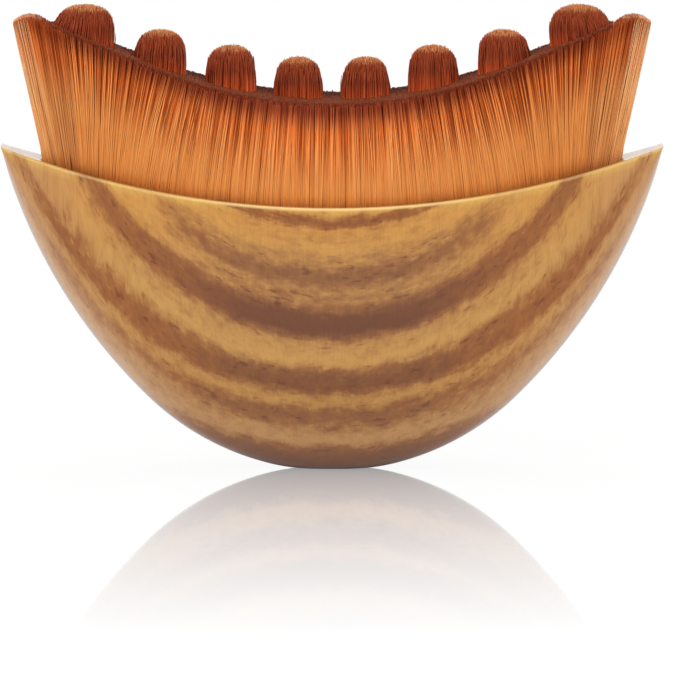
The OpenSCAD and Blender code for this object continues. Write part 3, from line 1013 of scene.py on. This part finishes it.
core_points, core_quads = bed_core()
core = weld(put_mesh("bed_core", core_points, core_quads))
dress(core, core_finish(), "bed_fibre", "fibre_bed")

# %% [markdown]
# ## How a strand runs
# A real filament is clamped at its root and leans as its neighbours push it. So a strand is found from the
# place where it leaves the rim: its lean, a slight bend that grows towards the tip, and the height at which
# it was cut. Tips cling together in small locks, so neighbours are pulled towards shared centres.

# %% Paths of strands
ROOT_DIP = 1.3
# a strand square to the rim leans a touch more than the rim's own slope
SQUARE_LEAN = 1.08
SPLAY_FROM, SPLAY_TO = 24, 39
USUAL_RISE = 14
BEND_POWER, STRAIGHT_FROM, STRAIGHT_TO = 1.35, 30, 38
# clearance of a strand's centre line to the outside of the head: at the ends, and front and back
END_CLEAR, FACE_CLEAR = 0.1, 0.07
CLUMP_POWER = 1.6


def lean_at(x):
    """Lean towards +X in radians of a strand that leaves the rim at x: square to it, splayed at the ends."""
    inward = -np.arcsin(x / RIM_R) * SQUARE_LEAN
    outward = FLARE * np.sign(x)
    return inward + (outward - inward) * smooth_step(SPLAY_FROM, SPLAY_TO, np.abs(x))


def crown(x):
    """Height of the cut tips: the plateau, and beyond it a low crown over each end, END_CROWN high."""
    over = END_TOP_Z - END_CROWN * ((np.abs(x) - END_TOP_X) / (END_TOP_X - END_INNER_X)) ** 2
    return np.where(np.abs(x) > END_INNER_X, over, plateau(x))


def fan_path(x_rim, across, drop, joints, lean_noise):
    """Centre lines from inside the pocket to the tips: x = rim x + rise tan(lean) share^power.

    across runs from -1 at the front face to 1 at the back face, and keeps its value along the strand. drop
    is how far under the crown a strand ends.
    """
    lean = lean_at(x_rim) + lean_noise
    low = arc_z(RIM_R, x_rim) - ROOT_DIP
    rise = crown(x_rim + USUAL_RISE * np.tan(lean)) - low
    share = np.linspace(0, 1, joints)[None, :]
    straight = smooth_step(STRAIGHT_FROM, STRAIGHT_TO, np.abs(x_rim))[:, None]
    power = BEND_POWER - (BEND_POWER - 1) * straight
    x = x_rim[:, None] + (rise * np.tan(lean))[:, None] * share**power
    top = crown(x[:, -1]) - drop
    z = low[:, None] + (top - low)[:, None] * share
    x = np.sign(x) * np.minimum(np.abs(x), head_half(z) - END_CLEAR)
    y = across[:, None] * (head_y(x, z) - FACE_CLEAR)
    return np.stack([x, y, z], axis=-1)


def clump(path, spacing, pull, uneven):
    """Pulls the tips of a path's strands towards the nearest of a row of uneven centres."""
    tip = path[:, -1, 0]
    centre = np.round(tip / spacing + uneven) * spacing
    share = np.linspace(0, 1, path.shape[1])[None, :] ** CLUMP_POWER
    path[:, :, 0] += ((centre - tip) * pull)[:, None] * share
    return path


def skin_across(x_rim, inset):
    """Across value that puts a strand that many mm inside the face at the rim."""
    return 1 - inset / head_y(x_rim, arc_z(RIM_R, x_rim))


def rounded_edge(inset):
    """How much lower a tip is on the plateau's rounded long edge: r (1 - inset / r)^2."""
    return EDGE_ROUND * np.clip(1 - inset / EDGE_ROUND, 0, 1) ** 2


lean_degrees = [round(math.degrees(lean_at(np.array(x))), 1) for x in (0.0, 15.0, 30.0, 39.0)]
print("lean at x = 0, 15, 30 and 39 mm, degrees:", lean_degrees)

# %% Curtain of long strands
CURTAIN_STRANDS, CURTAIN_JOINTS = 5600, 6
# the end bundles begin at this distance from the middle, and the curtain runs on a little under them
END_FAN_X, OVERLAP = 33.9, 0.1
SKIN_DEPTH = 0.5
LEAN_SPREAD = math.radians(0.8)
CLUMP_SPACING, MOST_PULL = 0.9, 0.55
TYPICAL_WIDTH, WIDTH_SPREAD, THINNEST, THICKEST = 0.135, 0.24, 0.09, 0.24
# the brightest strands stand partly for painted highlights along single strands
# the brightest strands: their share, width and tones; all others stay below LIGHTEST
BRIGHT_SHARE, BRIGHT_WIDTH, BRIGHT_TONES, LIGHTEST = 0.045, 0.13, (0.82, 0.95), 0.8


def curtain(name, side):
    """One skin of the bed, front or back."""
    count = CURTAIN_STRANDS
    reach = END_FAN_X + OVERLAP
    x_rim = (np.arange(count) + dice.uniform(0, 1, count)) / count * 2 * reach - reach
    far = np.abs(x_rim)
    bright = dice.uniform(0, 1, count) < BRIGHT_SHARE
    depth = np.where(bright, 0.0, dice.uniform(0, 1, count))
    inset = SKIN_DEPTH * depth
    drop = np.abs(dice.normal(0, 0.08, count)) + rounded_edge(inset)
    lean_noise = dice.normal(0, LEAN_SPREAD, count) + LEAN_SPREAD * wander(x_rim, 160)
    path = fan_path(x_rim, side * skin_across(x_rim, inset), drop, CURTAIN_JOINTS, lean_noise)
    path = clump(path, CLUMP_SPACING, dice.uniform(0, MOST_PULL, count), 0.3 * wander(x_rim, 120))
    width = np.clip(dice.lognormal(math.log(TYPICAL_WIDTH), WIDTH_SPREAD, count), THINNEST, THICKEST)
    tone = 0.45 + 0.33 * dice.normal(0, 1, count) + 0.17 * wander(x_rim, 300) - 0.3 * depth
    tone = np.minimum(tone, LIGHTEST) - 0.2 * smooth_step(8, 16, far) - 0.05 * smooth_step(26, 33, far)
    width = np.where(bright, BRIGHT_WIDTH, width)
    tone = np.where(bright, dice.uniform(*BRIGHT_TONES, count), tone)
    taper = np.array([1.35, 1.25, 1.1, 1, 1, 0.75])
    tip_shift = 0.3 + 0.9 * smooth_step(6, 28, far)
    return put_strands(name, path, width, tone, taper, tip_shift)


dice = np.random.default_rng(11)
dress(curtain("curtain_front", -1), curtain_finish, "bed_fibre", "fibre_bed")
dress(curtain("curtain_back", 1), curtain_finish, "bed_fibre", "fibre_bed")

# %% [markdown]
# ## The plateau
# From above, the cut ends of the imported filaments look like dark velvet. Short strands on a jittered
# triangular grid give that grain, with the rounded long edges of a trimmed brush, and leave room for tufts.

# %% Blunt tips of the plateau
TIP_SPACING, TIP_JITTER = 0.3, 0.09
TIP_LENGTH = 1.9
THINNEST_TIP, THICKEST_TIP = 0.22, 0.34
# clear of the long edges, of the end tufts, and under the outermost strands of a finger tuft
TIP_MARGIN, END_MARGIN, UNDER_TUFT = 0.45, 0.6, 0.97

tufts = []
for number in range(1, 9):
    name = f"finger_tuft_{number}"
    low, high = box_mm(name)
    tufts.append({"name": name, "x": (low[0] + high[0]) / 2, "r": (high[1] - low[1]) / 2, "top": high[2]})


def plateau_tips():
    """Rows sqrt(3)/2 of the spacing apart, every other one shifted by half of it, each tip moved a little."""
    rows = np.arange(-HALF_D, HALF_D, TIP_SPACING * math.sqrt(3) / 2)
    columns = np.arange(-HALF_W, HALF_W, TIP_SPACING)
    y, x = np.meshgrid(rows, columns, indexing="ij")
    x = x + (np.arange(len(rows)) % 2)[:, None] * TIP_SPACING / 2
    x, y = x.ravel(), y.ravel()
    x = x + dice.uniform(-TIP_JITTER, TIP_JITTER, x.size)
    y = y + dice.uniform(-TIP_JITTER, TIP_JITTER, y.size)
    inside = np.abs(x) < END_INNER_X - END_MARGIN
    inside &= np.abs(y) < head_y(np.clip(x, -END_INNER_X, END_INNER_X), plateau(x)) - TIP_MARGIN
    for tuft in tufts:
        inside &= (x - tuft["x"]) ** 2 + y**2 > (tuft["r"] * UNDER_TUFT) ** 2
    x, y = x[inside], y[inside]
    count = x.size
    edge = head_y(x, plateau(x)) - np.abs(y)
    top = plateau(x) + dice.normal(0, 0.05, count) - rounded_edge(edge)
    lean = lean_at(x) * 1.2 + dice.normal(0, math.radians(2), count)
    low = np.stack([x - TIP_LENGTH * np.tan(lean), y, top - TIP_LENGTH], axis=-1)
    path = np.stack([low, np.stack([x, y, top], axis=-1)], axis=1)
    width = dice.uniform(THINNEST_TIP, THICKEST_TIP, count)
    tone = 0.5 + 0.26 * dice.normal(0, 1, count) - 0.25 * smooth_step(2.0, 0.5, edge)
    return put_strands("plateau_tips", path, width, tone, np.array([1.0, 0.8]))


dress(plateau_tips(), plateau_finish, "bed_fibre", "fibre_bed")

# %% [markdown]
# ## Round-tipped tufts
# Each tuft is a bundle of longer filaments. Its strands stand on a sunflower spiral, which fills a circle
# evenly, and each one ends where it meets the dome. The outermost stray a little, so the outline is soft.

# %% Tufts
NECK_SHARE, DOME_H, DOME_POWER = 0.94, 2.9, 2.3
# the outer tufts lean in, by this factor times the square of their distance from the middle
TUFT_LEAN = 0.0004
TUFT_ROOT_DIP = 1.2
TUFT_DENSITY, TUFT_JOINTS = 38.0, 5
GOLDEN_ANGLE = math.pi * (3 - math.sqrt(5))
TUFT_BELLY = 0.2
# strands that end short and stray outwards, and the share of strands that keep their full pale tip
SHORT_SHARE, MOST_SHORT, STRAY = 0.05, 1.6, 0.3
FINE_SHARE = 0.35


def tuft_strands(tuft):
    """Spiral of strands: radius r = R sqrt(share), and a tip on the dome (r/R)^p + (h/H)^p = 1."""
    count = int(TUFT_DENSITY * math.pi * tuft["r"] ** 2)
    share = np.sqrt((np.arange(count) + 0.5) / count)
    angle = np.arange(count) * GOLDEN_ANGLE + dice.normal(0, 0.05, count)
    share = np.clip(share + dice.normal(0, 0.012, count), 0, 0.99)
    top = tuft["top"] - DOME_H + DOME_H * (1 - share**DOME_POWER) ** (1 / DOME_POWER)
    short = dice.uniform(0, 1, count) < SHORT_SHARE
    fine = dice.uniform(0, 1, count) < FINE_SHARE
    top = top - np.where(fine, 0.0, 0.1) - np.abs(dice.normal(0, 0.14, count))
    top = top - short * dice.uniform(0, MOST_SHORT, count)
    unit = np.stack([np.cos(angle), np.sin(angle)], axis=-1)
    foot = unit * (share * (tuft["r"] - END_CLEAR))[:, None] + [tuft["x"], 0]
    head_x = tuft["x"] - TUFT_LEAN * tuft["x"] * abs(tuft["x"])
    head = unit * (share * (tuft["r"] * NECK_SHARE - END_CLEAR))[:, None] + [head_x, 0]
    head = head + dice.normal(0, 0.07, head.shape) + unit * (STRAY * short * share**2)[:, None]
    low = plateau(foot[:, 0]) - TUFT_ROOT_DIP
    along = np.linspace(0, 1, TUFT_JOINTS)
    z = low[:, None] + (top - low)[:, None] * along
    plan = foot[:, None, :] * (1 - along)[:, None] + head[:, None, :] * along[:, None]
    belly = TUFT_BELLY * np.sin(math.pi * along)
    plan = plan + unit[:, None, :] * belly[:, None] * share[:, None, None]
    path = np.concatenate([plan, z[:, :, None]], axis=-1)
    width = dice.uniform(0.15, 0.22, count)
    tone = 0.45 + 0.22 * dice.normal(0, 1, count)
    taper = np.array([1, 1, 1, 0.9, 0.4])
    tip_shift = 0.7 * smooth_step(0.5, 1.0, share) + np.where(fine, 0.0, dice.uniform(0.15, 0.45, count))
    return put_strands(tuft["name"] + "_strands", path, width, tone, taper, tip_shift)


for tuft in tufts:
    dress(tuft_strands(tuft), tuft_finish, "tuft_fibre", tuft["name"])

# %% [markdown]
# ## The splayed ends
# Two bundles close the narrow ends. They lean out by the flare angle and end in a low crown. Their outermost
# strands catch the light and are almost straw-coloured. The front and back skins are as dense as the
# curtain's, so that the bundles join it without a gap, and loose strands fill the space between.

# %% End bundles
END_SKIN, END_FILL, END_JOINTS = 380, 1900, 7
FILL_DEPTH = 0.6
TYPICAL_END_WIDTH, THINNEST_END = 0.145, 0.1
# distances from the middle between which strands turn straw-coloured, and their tones
STRAW_FROM, STRAW_TO, STRAW_TONES = 36.6, 38.4, (0.89, 0.98)


def end_strands(side):
    """Strands over an end's root section: a skin front and back as dense as the curtain's, and a filling."""
    skin_count = 2 * END_SKIN
    count = skin_count + END_FILL
    depth = dice.uniform(0, 1, skin_count)
    along = np.concatenate([dice.uniform(0, 1, skin_count), dice.uniform(0, 1, END_FILL) ** 0.45])
    x_rim = END_FAN_X + along * (POCKET_HALF - END_CLEAR - END_FAN_X)
    skin = skin_across(x_rim[:skin_count], SKIN_DEPTH * depth) * np.repeat([-1, 1], END_SKIN)
    across = np.concatenate([skin, dice.uniform(-0.9, 0.9, END_FILL)])
    fine = dice.uniform(0, 1, count) < FINE_SHARE
    drop = np.where(fine, 0.0, 0.16) + np.abs(dice.normal(0, 0.1, count)) + 0.35 * np.abs(across) ** 6
    lean_noise = dice.normal(0, LEAN_SPREAD, count)
    path = fan_path(side * x_rim, across, drop, END_JOINTS, lean_noise)
    width = np.clip(dice.lognormal(math.log(TYPICAL_END_WIDTH), 0.22, count), THINNEST_END, THICKEST)
    deep = np.concatenate([depth, np.full(END_FILL, FILL_DEPTH)])
    tone = 0.38 + 0.18 * dice.normal(0, 1, count) + 0.16 * wander(x_rim, 260) - 0.2 * deep
    tone = np.minimum(tone + 0.18 * smooth_step(36.0, 37.8, x_rim), LIGHTEST)
    straw = dice.uniform(0, 1, count) < smooth_step(STRAW_FROM, STRAW_TO, x_rim)
    tone = np.where(straw, dice.uniform(*STRAW_TONES, count), tone)
    near_bed = smooth_step(39.9, 38.9, np.abs(path[:, -1, 0]))
    on_face = 0.85 * smooth_step(0.7, 0.98, np.abs(across))
    cut_off = np.where(fine, 0.0, dice.uniform(0.3, 0.8, count))
    tip_shift = 0.9 * np.maximum(np.maximum(near_bed, on_face), cut_off)
    name = "end_strands_left" if side < 0 else "end_strands_right"
    taper = np.array([1.1, 1.1, 1.05, 1, 1, 0.95, 0.55])
    return put_strands(name, path, width, tone, taper, tip_shift)


dress(end_strands(-1), end_finish, "bed_fibre", "end_tuft_left")
dress(end_strands(1), end_finish, "bed_fibre", "end_tuft_right")

# %% [markdown]
# ## Inside the handle
# What holds the roots is a guess: cast resin in a thin moulded cup. Both are hidden once the brush is
# together, but they are there if the head is lifted out, so they get plain finishes.

# %% Cup and resin


def moulded_finish(name, colour, roughness, cloud_scale, contrast):
    """Plain moulded or cast surface: one colour with faint clouds, and a roughness that follows them."""
    material, tree, shader = new_material(name)
    place = node(tree, "ShaderNodeTexCoord").outputs["Object"]
    cloud = noise(tree, place, cloud_scale, 3.0)
    darker = tuple(c * (1 - contrast) for c in colour[:3]) + (1.0,)
    rough = map_range(tree, cloud, 0.3, 0.7, roughness * 0.85, roughness * 1.15)
    tree.links.new(mix_colour(tree, cloud, darker, colour), shader.inputs["Base Color"])
    tree.links.new(rough, shader.inputs["Roughness"])
    return material


for name, finish in (
    ("root_cup", moulded_finish("cup_plastic", rgb(236, 233, 224), 0.45, 400.0, 0.06)),
    ("resin_bed", moulded_finish("cast_resin", rgb(226, 190, 120), 0.18, 250.0, 0.15)),
):
    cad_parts[name].data.materials.clear()
    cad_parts[name].data.materials.append(finish)
    print(f"{name}: finished")
